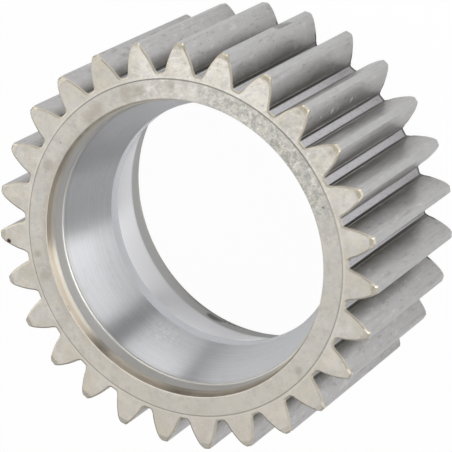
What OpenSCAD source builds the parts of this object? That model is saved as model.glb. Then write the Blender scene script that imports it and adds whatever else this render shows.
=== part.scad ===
// Wide straight-cut planet pinion for a final drive or differential carrier.
// The bore holds two tapered roller raceways that meet at a narrow rib at mid width.
// The axis is Z, the rear hub face is at z = 0 and a tooth is centred on +X.

/* [Teeth] */
// Number of teeth
tooth_count = 27; // [27:1:33]
// Module, which is the pitch diameter divided by the number of teeth
tooth_module = 4.5; // [4.5:0.25:6]
// Pressure angle of the flanks in degrees
pressure_angle = 25; // [20:0.5:25]
// Profile shift as a share of the module
profile_shift = 0.1; // [0:0.05:0.3]
// Tip height above the shifted pitch circle
addendum = 4.5; // [3.6:0.1:4.7]
// Root depth below the shifted pitch circle
dedendum = 5; // [4.8:0.05:5.4]
// Radius of the cutter's tip, which forms the root fillet
cutter_tip_r = 0.35; // [0.2:0.05:1.2]
// Height above the root where the flank grinding stops
ledge_height = 1.1; // [1:0.05:1.8]
// Width of the ledge that the grinding leaves at the foot of a flank
ledge_width = 0.12; // [0.05:0.01:0.2]

/* [Tooth ends] */
// Radial run of the shallow slope on the end of a tooth
end_slope_run = 1.35; // [0.8:0.05:2]
// Axial depth of that slope
end_slope_depth = 0.36; // [0.2:0.02:0.8]
// Width of the chamfer at the end of the top land
top_land_chamfer = 0.58; // [0.3:0.02:0.9]

/* [Body] */
// Width between the two hub faces
face_width = 62.2; // [58:0.2:80]
// Outer diameter of the turned hub face
hub_face_dia = 108.6; // [102:0.2:111]
// Depth of the tooth ends below the hub face
hub_step = 0.2; // [0.1:0.05:0.6]

/* [Bore] */
// Diameter of the bore's mouth at the hub face
mouth_dia = 96.2; // [95:0.2:99]
// Depth of the slow lead-in taper at the mouth
lead_in_depth = 3.3; // [2:0.1:4.5]
// Diameter of the land behind the lead-in
land_dia = 93.9; // [93.2:0.1:94.9]
// Diameter of a raceway at its large end
raceway_large_dia = 92.5; // [91.2:0.1:92.9]
// Depth of the raceway's large end below the hub face
raceway_depth = 8.4; // [7:0.1:10]
// Radius of the corner between the land and the raceway's shoulder
shoulder_r = 0.7; // [0.3:0.05:1.2]
// Diameter of the rib between the raceways
rib_dia = 80.8; // [76:0.2:86]
// Width of the rib
rib_width = 4.4; // [3:0.2:8]

/* [Hidden] */
round_fn = 180;
rad_to_deg = 180 / PI;
flank_steps = 6;
fillet_steps = 7;
shoulder_steps = 5;
margin = 1;
ledge_margin = 0.05;

// Circles of the toothing
pitch_r = tooth_module * tooth_count / 2;
base_r = pitch_r * cos(pressure_angle);
shift = profile_shift * tooth_module;
tip_r = pitch_r + shift + addendum;
root_r = pitch_r + shift - dedendum;
half_pitch = 180 / tooth_count;

// The rack cutter that forms the roots: the centre of its tip rounding lies
// cutter_offset beside the middle of the gap and cutter_depth below the pitch line
tip_share = (1 - sin(pressure_angle)) / cos(pressure_angle);
rack_half_tip = PI * tooth_module / 4 - dedendum * tan(pressure_angle);
widest_tip_r = (rack_half_tip - ledge_width * pitch_r / root_r) / tip_share;
cutter_r = min(cutter_tip_r, widest_tip_r);
cutter_offset = rack_half_tip - cutter_r * tip_share;
cutter_depth = dedendum - shift - cutter_r;
last_roll = cutter_depth / tan(pressure_angle);

// Polar position, [radius, angle from the middle of the gap], of the fillet point
// that the cutter forms when its tip centre is at a distance roll from the pitch point
function fillet_x(roll) = roll + cutter_r * sin(atan2(roll, cutter_depth));
function fillet_y(roll) = pitch_r - cutter_depth - cutter_r * cos(atan2(roll, cutter_depth));
function fillet_radius(roll) = norm([fillet_x(roll), fillet_y(roll)]);
function fillet_angle(roll) =
    atan2(fillet_x(roll), fillet_y(roll)) + (cutter_offset - roll) / pitch_r * rad_to_deg;

// Half of a tooth's angle at radius r on the involute flank
function involute(angle) = tan(angle) * rad_to_deg - angle;
function half_tooth(r) =
    half_pitch / 2 + 2 * profile_shift * tan(pressure_angle) * rad_to_deg / tooth_count
    + involute(pressure_angle) - involute(acos(base_r / r));

// The ledge lies above the end of the fillet and above the base circle
fillet_end_r = fillet_radius(last_roll);
ledge_r = max(root_r + ledge_height, fillet_end_r + ledge_margin, base_r + ledge_margin);
ledge_angle = ledge_width / ledge_r * rad_to_deg;

function polar(r, angle) = [r * cos(angle), r * sin(angle)];

// One side of a tooth from the root to the tip, as [radius, angle from the tooth's middle]
fillet_side = [
    for (i = [0 : fillet_steps])
        let (roll = last_roll * pow(i / fillet_steps, 1.5))
            [fillet_radius(roll), half_pitch - fillet_angle(roll) + ledge_angle]
];
ledge_side = [[ledge_r, half_tooth(ledge_r) + ledge_angle]];
flank_side = [
    for (i = [0 : flank_steps])
        let (r = ledge_r + (tip_r - ledge_r) * i / flank_steps)
            [r, half_tooth(r)]
];
tooth_side = concat(fillet_side, ledge_side, flank_side);
side_last = len(tooth_side) - 1;

// The whole outline, counter-clockwise: up one side of each tooth and down the other
gear_outline = [
    for (k = [0 : tooth_count - 1])
        for (i = [0 : 2 * side_last + 1])
            let (p = tooth_side[i <= side_last ? i : 2 * side_last + 1 - i],
                 side = i <= side_last ? -1 : 1)
                polar(p[0], 2 * half_pitch * k + side * p[1])
];

// Bore section from a hub face to the rib, as [radius, depth below the hub face]
mouth_r = mouth_dia / 2;
land_r = land_dia / 2;
raceway_large_r = raceway_large_dia / 2;
rib_r = rib_dia / 2;
rib_depth = (face_width - rib_width) / 2;
corner_r = min(shoulder_r, land_r - raceway_large_r);
shoulder_corner = [
    for (i = [0 : shoulder_steps])
        let (turn = 90 * i / shoulder_steps)
            [land_r - corner_r * (1 - cos(turn)), raceway_depth - corner_r * (1 - sin(turn))]
];
bore_side = concat(
    [[mouth_r, 0], [land_r, lead_in_depth]],
    shoulder_corner,
    [[raceway_large_r, raceway_depth], [rib_r, rib_depth]]
);

// End section from the hub face to just past the top land, as [radius, depth below the hub face]
slope_start_r = tip_r - top_land_chamfer - end_slope_run;
end_side = [
    [hub_face_dia / 2, 0],
    [hub_face_dia / 2, hub_step],
    [slope_start_r, hub_step],
    [tip_r - top_land_chamfer, hub_step + end_slope_depth],
    [tip_r + margin, hub_step + end_slope_depth + top_land_chamfer + margin]
];

function reversed(list) = [for (i = [len(list) - 1 : -1 : 0]) list[i]];
function at_front(list) = [for (p = list) [p[0], face_width - p[1]]];

// Half section of the ring: up the bore, out along the front end and back along the rear
ring_section = concat(
    bore_side,
    at_front(reversed(bore_side)),
    at_front(end_side),
    reversed(end_side)
);

module toothed_blank() {
    linear_extrude(face_width) polygon(gear_outline);
}

module turned_ring() {
    rotate_extrude($fn = round_fn) polygon(ring_section);
}

module planet_pinion() {
    color("#b9b4aa") intersection() {
        toothed_blank();
        turned_ring();
    }
}

planet_pinion();
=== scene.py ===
"""A wide planet pinion of hardened steel, with ground teeth, scoured ends and a bore of two raceways."""
import math

import bmesh
import bpy
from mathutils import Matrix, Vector


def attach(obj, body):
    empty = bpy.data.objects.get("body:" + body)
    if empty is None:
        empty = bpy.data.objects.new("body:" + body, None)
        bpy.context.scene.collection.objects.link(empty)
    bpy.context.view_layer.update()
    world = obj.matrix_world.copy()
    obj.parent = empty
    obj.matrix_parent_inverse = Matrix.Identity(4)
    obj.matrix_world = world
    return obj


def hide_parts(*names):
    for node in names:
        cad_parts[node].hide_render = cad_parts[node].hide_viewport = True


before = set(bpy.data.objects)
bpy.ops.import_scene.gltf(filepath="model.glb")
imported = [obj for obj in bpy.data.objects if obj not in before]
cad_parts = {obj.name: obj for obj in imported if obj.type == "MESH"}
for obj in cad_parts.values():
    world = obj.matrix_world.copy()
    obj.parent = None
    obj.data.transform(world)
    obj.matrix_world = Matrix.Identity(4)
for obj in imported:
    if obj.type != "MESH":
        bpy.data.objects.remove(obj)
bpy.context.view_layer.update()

MM = 0.001

# Toothing, in millimetres and radians. A tooth is centred on +X.
TEETH = 27
MODULE = 4.5
PRESSURE_ANGLE = math.radians(25)
PROFILE_SHIFT = 0.1
ADDENDUM = 4.5
DEDENDUM = 5.0
CUTTER_TIP_R = 0.35
LEDGE_HEIGHT = 1.1
LEDGE_WIDTH = 0.12
HALF_PITCH = math.pi / TEETH
PITCH_R = MODULE * TEETH / 2
BASE_R = PITCH_R * math.cos(PRESSURE_ANGLE)
TIP_R = PITCH_R + PROFILE_SHIFT * MODULE + ADDENDUM
ROOT_R = PITCH_R + PROFILE_SHIFT * MODULE - DEDENDUM
LEDGE_R = ROOT_R + LEDGE_HEIGHT

# Ends of the ring and of its teeth
WIDTH = 62.2
HUB_R = 54.3
HUB_STEP = 0.2
SLOPE_RUN = 1.35
SLOPE_DEPTH = 0.36
TIP_CHAMFER = 0.58
CHAMFER_R = TIP_R - TIP_CHAMFER
SLOPE_R = CHAMFER_R - SLOPE_RUN
EDGE_BREAK = 0.6
LAND_EDGE = 0.16

# Bore section
MOUTH_R = 48.1
LEAD_IN_DEPTH = 3.3
LAND_R = 46.95
RACEWAY_R = 46.25
RACEWAY_DEPTH = 8.4
RIB_R = 40.4
RIB_WIDTH = 4.4
MOUTH_ROUNDING = 0.22
HUB_ROUNDING = 0.1

# Steps of curved outlines and rounded edges. The fillet's points crowd towards the root.
FLANK_STEPS = 14
FILLET_STEPS = 9
FILLET_CROWDING = 1.5
CORNER_STEPS = 6
HUB_STEPS = 8
EDGE_STEPS = 2
ROUNDING_STEPS = 3
ROUND_PROFILE = 0.5

# Margins: in metres where vertices merge or lie on a cut, otherwise in millimetres or radians
MERGE = 2e-6
ON_CUT = 1e-8
NEAR = 0.01
LAND_SAG = 0.05
NEAR_GAP_MIDDLE = 1e-4
FLAT_TURN = 0.02
CREASE = math.radians(28)

# A face belongs to an end if its normal rises by more than this
END_RISE = 0.3

# Finishes, in the order of the material slots
END_FACE = 0
FLANK = 1
TOP_LAND = 2
BROKEN_EDGE = 3
LEAD_IN = 4
LAND = 5
RACEWAY = 6
RIB = 7

# Sectors of the ring, each as a bearing from +X and a half width in degrees
# Painted highlight: the end faces of the teeth in this sector are painted paler where light falls on them
HIGHLIT_TEETH = (-20, 16)
WARM_SIDE = (75, 50)
TAN_FACES = (165, 34)
STAINED_MOUTH = (80, 34)
WORN_RING = (-54, 19)
MOTTLED_FACES = (-36, 26)
BROWNED_SLOPES = (-60, 36)
BROWNED_EDGES = (-38, 22)
PITTED_FLANKS = (-18, 16)
# Sectors where the painted shade line along the hub step is weaker, as where the step is lit
WEAK_STEP_SHADE = (-140, 40)
FAINT_STEP_SHADE = (85, 45)
# Painted shade added to the browning of the lead-in on one side
SHADED_LIP = (190, 34)
# Painted highlight on the lead-in: less browning and a paler tan near the mouth
HIGHLIGHT_LIP = (88, 24)
HIGHLIGHT_TAN_LIP = (88, 26)
# Painted shade on one side of the lead-in and the land
SHADED_BORE = (170, 24)

# Single teeth and their neighbours with a tone of their own, as sector, share and shade
FACE_TONES = (
    ((13, 8), 0.5, (0.55, 0.52, 0.46)),
    ((-107, 8), 0.4, (0.50, 0.47, 0.41)),
    ((133, 10), 0.4, (0.86, 0.83, 0.77)),
)

# Marks, each as x, y, z and size in millimetres
RING_SMUDGES = (
    (51.0, 6.5, WIDTH, 2.4), (51.4, 2.1, WIDTH, 1.8), (47.3, 18.3, WIDTH, 2.2), (45.2, 21.8, WIDTH, 2.0),
    (31.8, 40.3, WIDTH, 1.8), (3.9, 52.1, WIDTH, 1.2), (-3.5, 51.0, WIDTH, 1.8), (51.8, -9.3, WIDTH, 1.4),
    (-41.5, -31.2, WIDTH, 1.2), (24.6, -57.6, WIDTH, 1.0), (38.0, -50.0, WIDTH, 0.9),
)
BROWN_PIT = (38.5, 34.0, WIDTH, 0.35)
DARK_PIT = (8.5, -51.3, WIDTH, 0.38)
RED_BROWN_SPOT = (9.0, 61.7, 62.0, 0.75)
PALE_FLECKS = (
    (33.7, -50.8, 42.3, 0.975), (32.9, -51.4, 37.9, 0.78), (32.2, -51.8, 34.0, 0.78),
    (33.7, -50.9, 27.9, 0.91), (34.2, -50.5, 24.6, 0.78), (33.9, -50.7, 50.7, 0.65),
    (32.3, -51.8, 49.5, 0.65), (34.6, -50.2, 16.7, 0.65),
)
LAND_PATCH = ((58.9, -29.0, 23.9, 1.9), (58.5, -29.9, 20.8, 1.9), (58.0, -30.8, 17.7, 1.9))
FLANK_DIRT = ((-55.6, 13.0, 60.9, 0.9), (-56.8, 0.5, 60.9, 0.9), (-55.8, -12.3, 60.9, 0.9))
EDGE_DIRT = ((-55.6, 13.0, 61.3, 0.7), (-56.8, 0.5, 61.3, 0.7), (-55.8, -12.3, 61.3, 0.7))
MOUTH_PITS = ((-14.6, 45.9, 62.0, 0.4), (-15.6, 45.6, 62.0, 0.4))
LIP_DIRT = (
    (-37.2, 28.7, 4.7, 1.2), (-37.9, 27.7, 4.9, 1.3), (-38.6, 26.7, 4.9, 1.3), (-39.4, 25.5, 4.6, 1.1),
    (-40.3, 24.2, 3.5, 0.8), (-41.1, 22.7, 3.1, 0.8), (-42.0, 21.0, 3.0, 0.7), (-42.8, 19.5, 2.6, 0.6),
)
RUBBED_PLACE = (-32.5, 26.8, 39.0, 5.0)

# Shades that more than one finish has, in linear red, green and blue
GAP_BLACK = (0.09, 0.085, 0.08)
LIP_BLACK = (0.12, 0.115, 0.115)
REAR_LIP_GREY = (0.49, 0.495, 0.50)

# Studio: place, lens and sensor in millimetres, turn in degrees, clipping and floor in metres
CAMERA_PLACE = (160.31, -392.27, 725.98)
CAMERA_TURN = (-17.9217, 26.2347, -103.835)
LENS = 203.0
SENSOR = 36
CLIP_START = 0.01
CLIP_END = 10
FLOOR_HALF = 3.0
FLOOR_GAP = 0.00005
FLOOR_GREY = (0.75, 0.75, 0.75)

# Shares of plain white that the floor shows to the camera and to the steel
FLOOR_TO_CAMERA = 0.97
FLOOR_IN_STEEL = 0.44

# The dim glow all round
WORLD_COLOUR = (0.95, 0.95, 0.96, 1)
WORLD_GLOW = 0.116

# Panels: bearing and rise in degrees, distance, width and height in metres, and glow, where 1 is white
PANELS = (
    ("right_panel", -82.7, 27, 0.9, 0.94, 0.5, 4.7),
    ("upper_panel", -16, 22, 0.9, 0.62, 0.4, 4.9),
    ("far_panel", 55, 27, 0.9, 1.35, 0.5, 1.9),
    ("left_panel", 170, 30, 0.9, 0.94, 0.5, 0.5),
    ("near_panel", -130, 45, 0.9, 0.8, 0.5, 1.7),
    ("overhead_panel", 75, 66, 0.6, 0.5, 0.5, 0.8),
)


def polar(radius, angle, height=0.0):
    """A point in metres from millimetres and radians."""
    return Vector((radius * math.cos(angle), radius * math.sin(angle), height)) * MM


def radius_of(point):
    """Distance of a point from the axis in millimetres."""
    return math.hypot(point.x, point.y) / MM


def depth_of(point):
    """Depth of a point below the nearer hub face in millimetres."""
    return min(point.z / MM, WIDTH - point.z / MM)


def everything(bm):
    """All vertices, edges and faces."""
    return bm.verts[:] + bm.edges[:] + bm.faces[:]


def round_edges(bm, edges, size, steps):
    """Rounds edges by a size in millimetres and returns the new faces."""
    made = bmesh.ops.bevel(
        bm, geom=edges, offset=size * MM, offset_type="OFFSET", affect="EDGES",
        segments=steps, profile=ROUND_PROFILE, material=-1, clamp_overlap=False,
    )
    return made["faces"]


def involute(angle):
    """The involute function of an angle in radians."""
    return math.tan(angle) - angle


def half_tooth(radius):
    """Half of a tooth's angle on the involute flank."""
    at_pitch = (math.pi / 2 + 2 * PROFILE_SHIFT * math.tan(PRESSURE_ANGLE)) / TEETH
    return at_pitch + involute(PRESSURE_ANGLE) - involute(math.acos(BASE_R / radius))


def tooth_side():
    """Radius and angle from the tooth's middle, from the middle of the gap up to the tip."""
    tip_share = (1 - math.sin(PRESSURE_ANGLE)) / math.cos(PRESSURE_ANGLE)
    rack_half_tip = math.pi * MODULE / 4 - DEDENDUM * math.tan(PRESSURE_ANGLE)
    offset = rack_half_tip - CUTTER_TIP_R * tip_share
    depth = DEDENDUM - PROFILE_SHIFT * MODULE - CUTTER_TIP_R
    last_roll = depth / math.tan(PRESSURE_ANGLE)
    ledge = LEDGE_WIDTH / LEDGE_R
    side = [(ROOT_R, HALF_PITCH)]
    for i in range(FILLET_STEPS + 1):
        roll = last_roll * (i / FILLET_STEPS) ** FILLET_CROWDING
        lean = math.atan2(roll, depth)
        x = roll + CUTTER_TIP_R * math.sin(lean)
        y = PITCH_R - depth - CUTTER_TIP_R * math.cos(lean)
        gap_angle = math.atan2(x, y) + (offset - roll) / PITCH_R
        side.append((math.hypot(x, y), HALF_PITCH - gap_angle + ledge))
    side.append((LEDGE_R, half_tooth(LEDGE_R) + ledge))
    for i in range(FLANK_STEPS + 1):
        radius = LEDGE_R + (TIP_R - LEDGE_R) * i / FLANK_STEPS
        side.append((radius, half_tooth(radius)))
    return side


def cut_tooth_end(bm, point, outward):
    """Takes off what lies past a plane and closes the cut."""
    cut = bmesh.ops.bisect_plane(
        bm, geom=everything(bm), dist=ON_CUT, plane_co=point, plane_no=outward, clear_outer=True
    )
    rim = [e for e in cut["geom_cut"] if isinstance(e, bmesh.types.BMEdge)]
    bmesh.ops.contextual_create(bm, geom=rim)


def one_tooth(bm):
    """A tooth from gap to gap, open where the hub and its neighbours join it."""
    side = tooth_side()
    low, high = HUB_STEP, WIDTH - HUB_STEP
    rising = [polar(r, -a, low) for r, a in side]
    falling = [polar(r, a, low) for r, a in reversed(side)]
    hub = [polar(HUB_R, HALF_PITCH * (1 - 2 * i / HUB_STEPS), low) for i in range(HUB_STEPS + 1)]
    end = bm.faces.new([bm.verts.new(p) for p in rising + falling + hub])
    raised = bmesh.ops.extrude_face_region(bm, geom=[end])
    top = [v for v in raised["geom"] if isinstance(v, bmesh.types.BMVert)]
    bmesh.ops.translate(bm, verts=top, vec=(0, 0, (high - low) * MM))
    joining = []
    for face in bm.faces:
        centre = face.calc_center_median()
        inner = radius_of(centre) < HUB_R + NEAR
        in_gap = abs(math.atan2(centre.y, centre.x)) > HALF_PITCH - NEAR_GAP_MIDDLE
        if abs(face.normal.z) < END_RISE and (inner or in_gap):
            joining.append(face)
    bmesh.ops.delete(bm, geom=joining, context="FACES")
    for up, level in ((1, high), (-1, low)):
        slope_start = polar(SLOPE_R, 0, level)
        cut_tooth_end(bm, slope_start, Vector((SLOPE_DEPTH, 0, up * SLOPE_RUN)))
        chamfer_start = polar(CHAMFER_R, 0, level - up * SLOPE_DEPTH)
        cut_tooth_end(bm, chamfer_start, Vector((1, 0, up)))


def toothed_rim(bm):
    """All the teeth, with their ends, flanks and lands told apart."""
    one_tooth(bm)
    bmesh.ops.recalc_face_normals(bm, faces=bm.faces[:])
    for face in bm.faces:
        if abs(face.normal.z) > END_RISE:
            face.material_index = END_FACE
        elif radius_of(face.calc_center_median()) > TIP_R - LAND_SAG:
            face.material_index = TOP_LAND
        else:
            face.material_index = FLANK
    bmesh.ops.spin(
        bm, geom=everything(bm), cent=(0, 0, 0), axis=(0, 0, 1),
        angle=2 * math.pi - 2 * HALF_PITCH, steps=TEETH - 1, use_duplicate=True,
    )
    bmesh.ops.remove_doubles(bm, verts=bm.verts[:], dist=MERGE)
    bmesh.ops.recalc_face_normals(bm, faces=bm.faces[:])


def kinds(edge):
    """Finishes of the faces on both sides of an edge."""
    return {f.material_index for f in edge.link_faces}


def break_edges(bm):
    """Rounds the lands' long edges and the outline of each tooth's end."""
    long_edges = [e for e in bm.edges if kinds(e) == {TOP_LAND, FLANK}]
    round_edges(bm, long_edges, LAND_EDGE, EDGE_STEPS)
    end_edges = [e for e in bm.edges if END_FACE in kinds(e) and FLANK in kinds(e)]
    for face in round_edges(bm, end_edges, EDGE_BREAK, EDGE_STEPS):
        face.material_index = BROKEN_EDGE


def bore_section():
    """Radius and height from the front hub step, through the bore, to the rear hub step."""
    rib_depth = (WIDTH - RIB_WIDTH) / 2
    corner_r = LAND_R - RACEWAY_R
    corner = []
    for i in range(1, CORNER_STEPS):
        turn = math.pi / 2 * i / CORNER_STEPS
        inward, upward = corner_r * (1 - math.cos(turn)), corner_r * (1 - math.sin(turn))
        corner.append((LAND_R - inward, RACEWAY_DEPTH - upward))
    front = [(HUB_R, HUB_STEP), (HUB_R, 0), (MOUTH_R, 0), (LAND_R, LEAD_IN_DEPTH)]
    front += [(LAND_R, RACEWAY_DEPTH - corner_r)] + corner
    front += [(RACEWAY_R, RACEWAY_DEPTH), (RIB_R, rib_depth)]
    return [(r, WIDTH - d) for r, d in front] + [(r, d) for r, d in reversed(front)]


def bore_finish(radius, depth):
    """Finish of a turned face by the radius and depth of its middle."""
    if depth < HUB_STEP + NEAR:
        return END_FACE
    if depth < LEAD_IN_DEPTH:
        return LEAD_IN
    if depth < RACEWAY_DEPTH:
        return LAND
    if radius > RIB_R + NEAR:
        return RACEWAY
    return RIB


def turned_bore(bm):
    """The hub faces and the bore, spun from their section."""
    points = [bm.verts.new(polar(r, -HALF_PITCH, z)) for r, z in bore_section()]
    wire = [bm.edges.new(pair) for pair in zip(points, points[1:])]
    bmesh.ops.spin(
        bm, geom=points + wire, cent=(0, 0, 0), axis=(0, 0, 1),
        angle=2 * math.pi, steps=TEETH * HUB_STEPS, use_merge=True,
    )
    on_face = [e for e in bm.edges if all(depth_of(v.co) < NEAR for v in e.verts)]
    mouth = [e for e in on_face if all(abs(radius_of(v.co) - MOUTH_R) < NEAR for v in e.verts)]
    rim = [e for e in on_face if all(abs(radius_of(v.co) - HUB_R) < NEAR for v in e.verts)]
    round_edges(bm, mouth, MOUTH_ROUNDING, ROUNDING_STEPS)
    round_edges(bm, rim, HUB_ROUNDING, ROUNDING_STEPS)
    for face in bm.faces:
        centre = face.calc_center_median()
        face.material_index = bore_finish(radius_of(centre), depth_of(centre))


def sharpen(bm):
    """Smooth faces, with crisp edges where the surface turns or a flat end face begins."""
    for face in bm.faces:
        face.smooth = True
    for edge in bm.edges:
        if len(edge.link_faces) != 2:
            continue
        first, second = edge.link_faces
        turn = first.normal.angle(second.normal, 0.0)
        flat_end = turn > FLAT_TURN and END_FACE in kinds(edge)
        edge.smooth = not (turn > CREASE or flat_end)


def make_gear():
    """The whole gear as one mesh, with the finish of every face in its material index."""
    rim = bmesh.new()
    toothed_rim(rim)
    break_edges(rim)
    rim_mesh = bpy.data.meshes.new("toothed_rim")
    rim.to_mesh(rim_mesh)
    rim.free()
    whole = bmesh.new()
    turned_bore(whole)
    whole.from_mesh(rim_mesh)
    bpy.data.meshes.remove(rim_mesh)
    bmesh.ops.remove_doubles(whole, verts=whole.verts[:], dist=MERGE)
    bmesh.ops.recalc_face_normals(whole, faces=whole.faces[:])
    sharpen(whole)
    mesh = bpy.data.meshes.new("planet_pinion_steel")
    whole.to_mesh(mesh)
    whole.free()
    made = bpy.data.objects.new("planet_pinion_steel", mesh)
    bpy.context.scene.collection.objects.link(made)
    return made


class Value:
    """A socket of a material that takes part in ordinary arithmetic."""

    def __init__(self, finish, socket):
        self.finish = finish
        self.socket = socket

    def calculate(self, operation, *terms):
        """The result of a Math node, from values or plain numbers."""
        return self.finish.node("ShaderNodeMath", {"operation": operation}, dict(enumerate(terms)))

    def __add__(self, other):
        return self.calculate("ADD", self, other)

    def __radd__(self, other):
        return self.calculate("ADD", other, self)

    def __sub__(self, other):
        return self.calculate("SUBTRACT", self, other)

    def __rsub__(self, other):
        return self.calculate("SUBTRACT", other, self)

    def __mul__(self, other):
        return self.calculate("MULTIPLY", self, other)

    def __rmul__(self, other):
        return self.calculate("MULTIPLY", other, self)

    def __truediv__(self, other):
        return self.calculate("DIVIDE", self, other)

    def __rtruediv__(self, other):
        return self.calculate("DIVIDE", other, self)

    def __pow__(self, other):
        return self.calculate("POWER", self, other)

    def __abs__(self):
        return self.calculate("ABSOLUTE", self)

    def at_most(self, other):
        """This value, or the other one where that is smaller."""
        return self.calculate("MINIMUM", self, other)


class Finish:
    """One material and the nodes that make it, on the part's own coordinates in millimetres."""

    def __init__(self, name):
        self.material = bpy.data.materials.new(name)
        self.material.use_nodes = True
        self.tree = self.material.node_tree
        self.shader = self.tree.nodes["Principled BSDF"]
        place = self.node("ShaderNodeTexCoord", {}, {}, "Object")
        self.place = self.node(
            "ShaderNodeVectorMath", {"operation": "SCALE"}, {0: place, "Scale": 1 / MM}
        )
        split = self.node("ShaderNodeSeparateXYZ", {}, {0: self.place}).socket.node
        self.x, self.y, self.z = (Value(self, s) for s in split.outputs)
        self.radius = (self.x * self.x + self.y * self.y) ** 0.5
        self.depth = self.z.at_most(WIDTH - self.z)

    def node(self, kind, settings, inputs, output=0):
        """Any node, from its settings and its inputs, which are values or plain numbers."""
        made = self.tree.nodes.new(kind)
        for key, value in settings.items():
            setattr(made, key, value)
        for key, value in inputs.items():
            if isinstance(value, Value):
                self.tree.links.new(value.socket, made.inputs[key])
            else:
                made.inputs[key].default_value = value
        return Value(self, made.outputs[output])

    def noise(self, scale, detail=2.0, roughness=0.5, stretch=(1, 1, 1), offset=0.0):
        """Noise with about one cell to each scale millimetres."""
        start = (offset, offset * 0.7, offset * 1.3)
        where = self.node(
            "ShaderNodeMapping", {}, {"Vector": self.place, "Location": start, "Scale": stretch}
        )
        return self.node(
            "ShaderNodeTexNoise",
            {},
            {"Vector": where, "Scale": 1 / scale, "Detail": detail, "Roughness": roughness},
        )

    def rings(self, across, along, detail=2.0):
        """Noise that changes with radius and height only, as turning and grinding leave it."""
        where = self.node("ShaderNodeCombineXYZ", {}, {0: self.radius / across, 1: self.z / along})
        return self.node("ShaderNodeTexNoise", {}, {"Vector": where, "Scale": 1.0, "Detail": detail})

    def step(self, value, low, high):
        """0 below low, 1 above high and a smooth rise between; falls if low is above high."""
        rise = (value, low, high, 0.0, 1.0) if low < high else (value, high, low, 1.0, 0.0)
        return self.node(
            "ShaderNodeMapRange", {"interpolation_type": "SMOOTHSTEP"}, dict(enumerate(rise))
        )

    def blend(self, mask, first, second):
        """First colour where the mask is 0 and second where it is 1."""
        first, second = (c if isinstance(c, Value) else (*c, 1.0) for c in (first, second))
        inputs = {0: mask, 6: first, 7: second}
        return self.node("ShaderNodeMix", {"data_type": "RGBA"}, inputs, 2)

    def layered(self, colour, *layers):
        """The colour under one shade after another, each given with the mask that it shows through."""
        for mask, shade in layers:
            colour = self.blend(mask, colour, shade)
        return colour

    def spot(self, mark, soft=0.5):
        """A mask round a mark, ragged at its rim."""
        *place, size = mark
        apart = self.node(
            "ShaderNodeVectorMath", {"operation": "DISTANCE"}, {0: self.place, 1: place}, 1
        )
        ragged = apart + (self.noise(size * 0.5) - 0.5) * size
        return self.step(ragged, size * (1 + soft), size * (1 - soft))

    def marked(self, colour, marks, share, shade, soft=0.5):
        """The colour under the same shade at every mark."""
        return self.layered(colour, *((self.spot(mark, soft) * share, shade) for mark in marks))

    def side(self, sector):
        """1 within a sector's half width of its bearing, fading out over as much again."""
        turn, half_width = (math.radians(angle) for angle in sector)
        facing = (self.x * math.cos(turn) + self.y * math.sin(turn)) / self.radius
        return self.step(facing, math.cos(2 * half_width), math.cos(half_width))

    def brushed_round(self, strength):
        """Stretches gloss across grinding lines that run round the axis."""
        self.shader.inputs["Anisotropic"].default_value = strength
        self.shader.inputs["Anisotropic Rotation"].default_value = 0.25

    def bump(self, height, distance, under=None):
        """A normal raised by a height, over a distance in millimetres and over another bump."""
        inputs = {"Height": height, "Distance": distance * MM, "Strength": 1.0}
        if under is not None:
            inputs["Normal"] = under
        return self.node("ShaderNodeBump", {}, inputs)

    def surface(self, colour, roughness, metallic=1.0, normal=None):
        """Gives the shader its values and returns the material."""
        for name, value in (("Base Color", colour), ("Roughness", roughness), ("Metallic", metallic)):
            if isinstance(value, Value):
                self.tree.links.new(value.socket, self.shader.inputs[name])
            else:
                self.shader.inputs[name].default_value = (*value, 1.0) if name == "Base Color" else value
        if normal is not None:
            self.tree.links.new(normal.socket, self.shader.inputs["Normal"])
        return self.material


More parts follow.
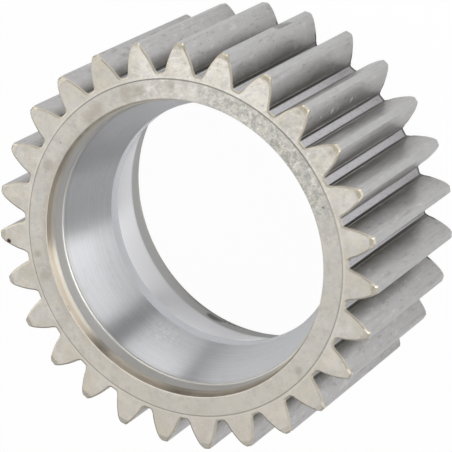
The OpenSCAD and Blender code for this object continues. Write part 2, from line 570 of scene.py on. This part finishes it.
def end_face_finish():
    """Scoured steel, pale and warm, with grey mottling on the hub ring, tan slopes at the tips, a painted
    highlight on some teeth and painted shade and highlight along the hub step.
    """
    f = Finish("scoured_end_face")
    cloud = f.noise(7.0, detail=3.0, roughness=0.6)
    warmth = f.noise(8.0, detail=3.0, roughness=0.6, offset=7.0)
    tint = f.noise(4.0, detail=3.0, roughness=0.6, offset=101.0)
    blotch = f.noise(3.0, detail=4.0, roughness=0.65, offset=11.0)
    smudge = f.noise(2.2, detail=5.0, roughness=0.7, offset=57.0)
    dab = f.noise(1.7, detail=4.0, roughness=0.65, stretch=(1.3, 0.7, 1), offset=83.0)
    fleck = f.noise(0.9, detail=4.0, roughness=0.65, offset=17.0)
    crumb = f.noise(0.7, detail=3.0, roughness=0.6, offset=27.0)
    grain = f.noise(0.35)
    hub = f.step(f.radius, HUB_R + 0.1, HUB_R - 0.3)
    worn = f.side(WORN_RING) * hub
    mottled = 0.08 + 0.44 * f.side(MOTTLED_FACES)
    mouth_stain = f.step(f.radius, MOUTH_R + 2.6, MOUTH_R + 0.4) * f.side(STAINED_MOUTH)
    dark = f.step(fleck + 0.05 * worn, 0.6, 0.7) * (0.25 + 0.15 * hub + 0.25 * worn)
    pale = f.step(crumb + 0.03 * worn, 0.58, 0.7) * (0.2 + 0.35 * worn)
    ragged = f.radius + 0.8 * (f.noise(1.2, detail=3.0, roughness=0.6, offset=37.0) - 0.5)
    slope = f.step(ragged, SLOPE_R - 0.3, SLOPE_R + 0.4)
    slope_stain = slope * (0.25 + 0.7 * f.side(BROWNED_SLOPES)) * (0.7 + 0.3 * f.step(blotch, 0.4, 0.6))
    tip = f.step(f.radius, CHAMFER_R - 0.1, CHAMFER_R + 0.1)
    # A pale line just outside the hub step: a painted highlight on the step's edge
    step_highlight = f.step(abs(f.radius - HUB_R - 0.55), 0.45, 0.1)
    # A dark line along the hub step: painted shade in the step's corner, weaker on two sectors
    groove = f.step(abs(f.radius - HUB_R), 0.32, 0.06)
    step_shade_share = 0.85 - 0.4 * f.side(WEAK_STEP_SHADE) - 0.25 * f.side(FAINT_STEP_SHADE)
    colour = f.blend(f.step(cloud, 0.35, 0.7), (0.60, 0.575, 0.52), (0.73, 0.69, 0.635))
    colour = f.layered(
        colour,
        # painted highlight: paler end faces on the teeth of one sector
        (f.side(HIGHLIT_TEETH) * 0.75, (0.858, 0.818, 0.752)),
        *((f.side(sector) * share, shade) for sector, share, shade in FACE_TONES),
        (f.step(warmth, 0.42, 0.62) * (0.2 + 0.35 * f.side(WARM_SIDE)), (0.568, 0.515, 0.422)),
        (f.step(tint, 0.47, 0.62) * 0.28, (0.70, 0.635, 0.49)),
        (f.step(tint, 0.47, 0.34) * 0.3, (0.60, 0.58, 0.575)),
        (hub * 0.5, (0.568, 0.554, 0.515)),
        (mouth_stain * 0.4, (0.46, 0.40, 0.325)),
        (f.step(blotch, 0.48, 0.64) * (0.3 + 0.2 * hub), (0.462, 0.436, 0.409)),
        (f.step(dab, 0.52, 0.66) * mottled, (0.91, 0.90, 0.845)),
        (f.step(dab, 0.45, 0.33) * mottled, (0.42, 0.41, 0.37)),
        (f.side(TAN_FACES) * 0.35, (0.63, 0.57, 0.485)),
        (f.step(smudge, 0.44, 0.6) * worn * 0.68, (0.317, 0.317, 0.29)),
        (dark, (0.304, 0.304, 0.277)),
        (pale, (0.898, 0.884, 0.832)),
        (slope_stain, (0.356, 0.317, 0.238)),
        (tip * 0.8, (0.36, 0.33, 0.272)),
        # painted highlight beside the hub step
        (step_highlight * 0.25, (0.871, 0.845, 0.752)),
        # painted shade along the hub step
        (groove * step_shade_share, (0.17, 0.16, 0.15)),
    )
    colour = f.marked(colour, RING_SMUDGES, 0.5, (0.36, 0.31, 0.25), soft=0.7)
    colour = f.marked(colour, [BROWN_PIT], 0.6, (0.20, 0.18, 0.15))
    colour = f.marked(colour, [DARK_PIT], 0.8, (0.12, 0.11, 0.1))
    colour = f.marked(colour, [RED_BROWN_SPOT], 1.0, (0.05, 0.02, 0.02))
    normal = f.bump(fleck, 0.03, under=f.bump(grain, 0.02))
    return f.surface(colour, roughness=0.5 + 0.14 * (blotch - 0.5), metallic=0.35, normal=normal)


def flank_finish():
    """Ground flanks that darken to the ledge, in part as painted shade, with a painted shade line at the
    ledge's foot, over an unground grey root strip.
    """
    f = Finish("ground_flank")
    streak = f.noise(0.9, stretch=(1, 1, 0.05))
    cloud = f.noise(5.0, detail=3.0, roughness=0.6, offset=4.0)
    pit = f.noise(0.8, detail=1.0, offset=41.0)
    smear = f.noise(1.5, detail=4.0, roughness=0.65, stretch=(1, 1, 0.35), offset=47.0)
    scuff = f.noise(0.55, detail=3.0, roughness=0.7, stretch=(1, 1, 0.4), offset=53.0)
    # Darker towards the ledge: in part painted shade at the foot of the flank
    low = f.step(f.radius, LEDGE_R + 5.0, LEDGE_R)
    # A dark line at the foot of the ledge: painted shade in its corner
    ledge_shade_line = f.step(f.radius, LEDGE_R - 0.02, LEDGE_R - 0.08)
    root_strip = f.step(f.radius, ROOT_R + 0.22, ROOT_R + 0.1)
    # Darker at the rear end of the gaps, near the root
    dark_rear_gap = f.step(f.z, 2.1, 1.6) * f.step(f.radius, 60.6, 59.4)
    # flanks painted darker towards the ledge, in part as painted shade
    colour = f.blend(low, (0.495, 0.486, 0.486), (0.324, 0.315, 0.297))
    colour = f.layered(
        colour,
        (f.step(cloud, 0.45, 0.7) * 0.3, (0.558, 0.558, 0.549)),
        (f.step(streak, 0.5, 0.75) * 0.4, (0.36, 0.342, 0.333)),
        (f.step(smear, 0.56, 0.7) * 0.45, (0.702, 0.684, 0.666)),
        (f.step(smear, 0.44, 0.32) * 0.5, (0.27, 0.258, 0.238)),
        (f.step(pit, 0.74, 0.79) * (0.35 + 0.5 * f.side(PITTED_FLANKS)), (0.14, 0.135, 0.13)),
    )
    colour = f.marked(colour, PALE_FLECKS, 0.9, (0.92, 0.91, 0.90))
    colour = f.marked(colour, FLANK_DIRT, 0.85, GAP_BLACK)
    colour = f.layered(
        colour,
        # painted shade line at the ledge's foot
        (ledge_shade_line, (0.17, 0.165, 0.155)),
        (root_strip, (0.522, 0.513, 0.531)),
        (root_strip * f.step(scuff, 0.5, 0.68) * 0.45, (0.252, 0.243, 0.234)),
        (dark_rear_gap * 0.9, (0.06, 0.055, 0.05)),
    )
    return f.surface(colour, roughness=0.36 + 0.12 * (cloud - 0.5), normal=f.bump(streak, 0.012))


def top_land_finish():
    """Turned lands with fine streaks and one dark patch."""
    f = Finish("turned_top_land")
    cloud = f.noise(3.0, detail=3.0, roughness=0.6, offset=21.0)
    streak = f.noise(0.5, stretch=(1, 1, 0.06), offset=61.0)
    colour = f.blend(cloud, (0.455, 0.455, 0.455), (0.565, 0.565, 0.557))
    colour = f.blend(f.step(streak, 0.5, 0.72) * 0.35, colour, (0.36, 0.352, 0.352))
    colour = f.marked(colour, LAND_PATCH, 0.6, (0.18, 0.175, 0.17))
    return f.surface(colour, roughness=0.48)


def broken_edge_finish():
    """Edges rounded by brushing, browned near some tips and dark at the rear of the gaps."""
    f = Finish("brushed_edge")
    cloud = f.noise(1.5, detail=3.0, roughness=0.6, offset=31.0)
    # Darker at the rear end of the gaps, near the root
    dark_rear_gap = f.step(f.z, 1.6, 0.9) * f.step(f.radius, 60.5, 59.0)
    browned = f.side(BROWNED_EDGES) * f.step(f.radius, TIP_R - 2.6, TIP_R - 1.6)
    colour = f.layered(
        f.blend(cloud, (0.45, 0.41, 0.34), (0.68, 0.63, 0.54)),
        (dark_rear_gap * 0.85, (0.10, 0.09, 0.08)),
        (browned * 0.6, (0.33, 0.29, 0.22)),
    )
    colour = f.marked(colour, EDGE_DIRT, 0.85, GAP_BLACK)
    return f.surface(colour, roughness=0.45, metallic=0.9)


def at_rear_lip(f, colour):
    """A greyer tone towards the rear end of the bore, with the dirt on its lip."""
    colour = f.blend(f.step(f.z, 10.0, 9.0) * 0.6, colour, REAR_LIP_GREY)
    return f.marked(colour, LIP_DIRT, 0.75, LIP_BLACK, soft=0.4)


def lead_in_finish():
    """Turned lead-in, browned towards the mouth, with painted shade on one side and a painted tan
    highlight on the other, and dirty at one place of the rear lip.
    """
    f = Finish("turned_lead_in")
    lines = f.rings(0.5, 0.3)
    cloud = f.noise(4.0, detail=3.0, roughness=0.6, offset=67.0)
    outer = f.step(f.depth, 2.8, 0.9)
    # Browning towards the mouth: a stain all round, with painted shade added on one side
    browned = outer * (0.25 + 0.3 * f.step(cloud, 0.4, 0.65) + 0.45 * f.side(SHADED_LIP))
    # A paler tan near the mouth on one side: painted highlight
    tan_highlight = f.step(f.depth, 2.3, 1.5) * f.side(HIGHLIGHT_TAN_LIP)
    colour = f.layered(
        f.blend(lines, (0.60, 0.56, 0.48), (0.75, 0.705, 0.61)),
        # less browning on one side: painted highlight
        (browned * (1 - 0.6 * f.side(HIGHLIGHT_LIP)), (0.265, 0.215, 0.16)),
        # painted tan highlight near the mouth
        (tan_highlight * 0.6, (0.52, 0.43, 0.335)),
        # painted shade on one side of the lead-in
        (f.side(SHADED_BORE) * 0.72, (0.235, 0.205, 0.165)),
    )
    colour = f.marked(at_rear_lip(f, colour), MOUTH_PITS, 0.7, (0.15, 0.13, 0.10))
    f.brushed_round(1.0)
    return f.surface(colour, roughness=0.42, normal=f.bump(lines, 0.004))


def land_finish():
    """Turned land, duller on the rounded corner before the raceway, with painted shade on one side."""
    f = Finish("turned_land")
    lines = f.rings(0.4, 0.2)
    corner = f.step(f.depth, RACEWAY_DEPTH - 0.8, RACEWAY_DEPTH - 0.6)
    colour = f.blend(lines, (0.546, 0.537, 0.519), (0.669, 0.66, 0.634))
    # Painted shade on one side of the land
    colour = f.blend(f.side(SHADED_BORE) * 0.4, colour, (0.352, 0.334, 0.299))
    colour = at_rear_lip(f, colour)
    f.brushed_round(0.6)
    return f.surface(colour, roughness=0.36 + 0.12 * corner, normal=f.bump(lines, 0.008))


def raceway_finish():
    """Ground raceways with fine lines round the axis and a few smears; the rear one is painted paler as a
    painted reflection.
    """
    f = Finish("ground_raceway")
    lines = f.rings(0.3, 0.12, detail=3.0)
    cloud = f.noise(4.0, detail=4.0, roughness=0.65, stretch=(1, 1, 1.6), offset=71.0)
    smear = f.noise(0.8, stretch=(1, 1, 0.12), offset=91.0)
    # The rear raceway is painted paler than the front one: a painted reflection
    rear = f.step(f.z, WIDTH / 2 + 0.5, WIDTH / 2 - 0.5)
    rubbed = f.spot(RUBBED_PLACE, soft=0.8) * f.step(smear, 0.42, 0.66)
    dull = f.step(f.depth, RACEWAY_DEPTH + 2.0, RACEWAY_DEPTH + 0.8)
    colour = f.layered(
        f.blend(f.step(lines, 0.3, 0.7), (0.55, 0.556, 0.575), (0.66, 0.663, 0.68)),
        (f.step(cloud, 0.5, 0.75) * 0.25, (0.461, 0.461, 0.452)),
        # painted reflection: the rear raceway paler
        (rear, (0.87, 0.87, 0.885)),
        (rubbed * 0.3, (0.90, 0.90, 0.90)),
        (dull * 0.3, (0.487, 0.487, 0.47)),
    )
    f.brushed_round(1.0)
    return f.surface(colour, roughness=0.4 + 0.05 * dull, normal=f.bump(lines, 0.0006))


def rib_finish():
    """The ground rib, bluish and the glossiest part of the bore."""
    f = Finish("ground_rib")
    lines = f.rings(0.3, 0.2)
    colour = f.blend(lines, (0.712, 0.722, 0.76), (0.807, 0.817, 0.855))
    return f.surface(colour, roughness=0.25, normal=f.bump(lines, 0.002))


def white_floor():
    """A pale sheet that looks white to the camera and in the steel, and keeps a faint shadow."""
    bm = bmesh.new()
    bmesh.ops.create_grid(bm, x_segments=1, y_segments=1, size=FLOOR_HALF)
    bmesh.ops.translate(bm, verts=bm.verts[:], vec=(0, 0, -FLOOR_GAP))
    mesh = bpy.data.meshes.new("studio_floor")
    bm.to_mesh(mesh)
    bm.free()
    floor = bpy.data.objects.new("studio_floor", mesh)
    bpy.context.scene.collection.objects.link(floor)
    finish = Finish("white_floor")
    finish.surface(FLOOR_GREY, roughness=0.9, metallic=0.0)
    path = finish.tree.nodes.new("ShaderNodeLightPath")
    rays = ("Is Camera Ray", "Is Glossy Ray", "Is Transmission Ray")
    direct, mirrored, refracted = (Value(finish, path.outputs[ray]) for ray in rays)
    shown = direct * FLOOR_TO_CAMERA + (mirrored + refracted) * FLOOR_IN_STEEL
    glow = finish.node("ShaderNodeEmission", {}, {"Color": (1, 1, 1, 1), "Strength": 1.0})
    sheet = Value(finish, finish.shader.outputs[0])
    both = finish.node("ShaderNodeMixShader", {}, {0: shown, 1: sheet, 2: glow})
    finish.tree.links.new(both.socket, finish.tree.nodes["Material Output"].inputs["Surface"])
    floor.data.materials.append(finish.material)


def studio_world():
    """A dim even glow all round."""
    world = bpy.data.worlds.new("soft_studio")
    bpy.context.scene.world = world
    world.use_nodes = True
    backdrop = world.node_tree.nodes["Background"]
    backdrop.inputs["Color"].default_value = WORLD_COLOUR
    backdrop.inputs["Strength"].default_value = WORLD_GLOW


def softbox(name, bearing, rise, distance, width, height, glow):
    """A lit panel that faces the gear's middle."""
    data = bpy.data.lights.new(name, "AREA")
    data.shape = "RECTANGLE"
    data.size = width
    data.size_y = height
    data.energy = glow * math.pi * width * height
    turn, lift = math.radians(bearing), math.radians(rise)
    aim = Vector((0, 0, WIDTH / 2 * MM))
    way = Vector((math.cos(turn) * math.cos(lift), math.sin(turn) * math.cos(lift), math.sin(lift)))
    lamp = bpy.data.objects.new(name, data)
    lamp.location = aim + distance * way
    lamp.rotation_euler = way.to_track_quat("Z", "Y").to_euler()
    bpy.context.scene.collection.objects.link(lamp)


def camera():
    """The photo's view."""
    data = bpy.data.cameras.new("studio_camera")
    data.sensor_width = SENSOR
    data.lens = LENS
    data.clip_start = CLIP_START
    data.clip_end = CLIP_END
    view = bpy.data.objects.new("studio_camera", data)
    view.location = Vector(CAMERA_PLACE) * MM
    view.rotation_euler = [math.radians(a) for a in CAMERA_TURN]
    bpy.context.scene.collection.objects.link(view)
    bpy.context.scene.camera = view


gear = make_gear()
for made in (
    end_face_finish(), flank_finish(), top_land_finish(), broken_edge_finish(),
    lead_in_finish(), land_finish(), raceway_finish(), rib_finish(),
):
    gear.data.materials.append(made)
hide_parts("planet_pinion")
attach(gear, "root")

white_floor()
studio_world()
for panel in PANELS:
    softbox(*panel)
camera()
bpy.context.scene.view_settings.view_transform = "Standard"
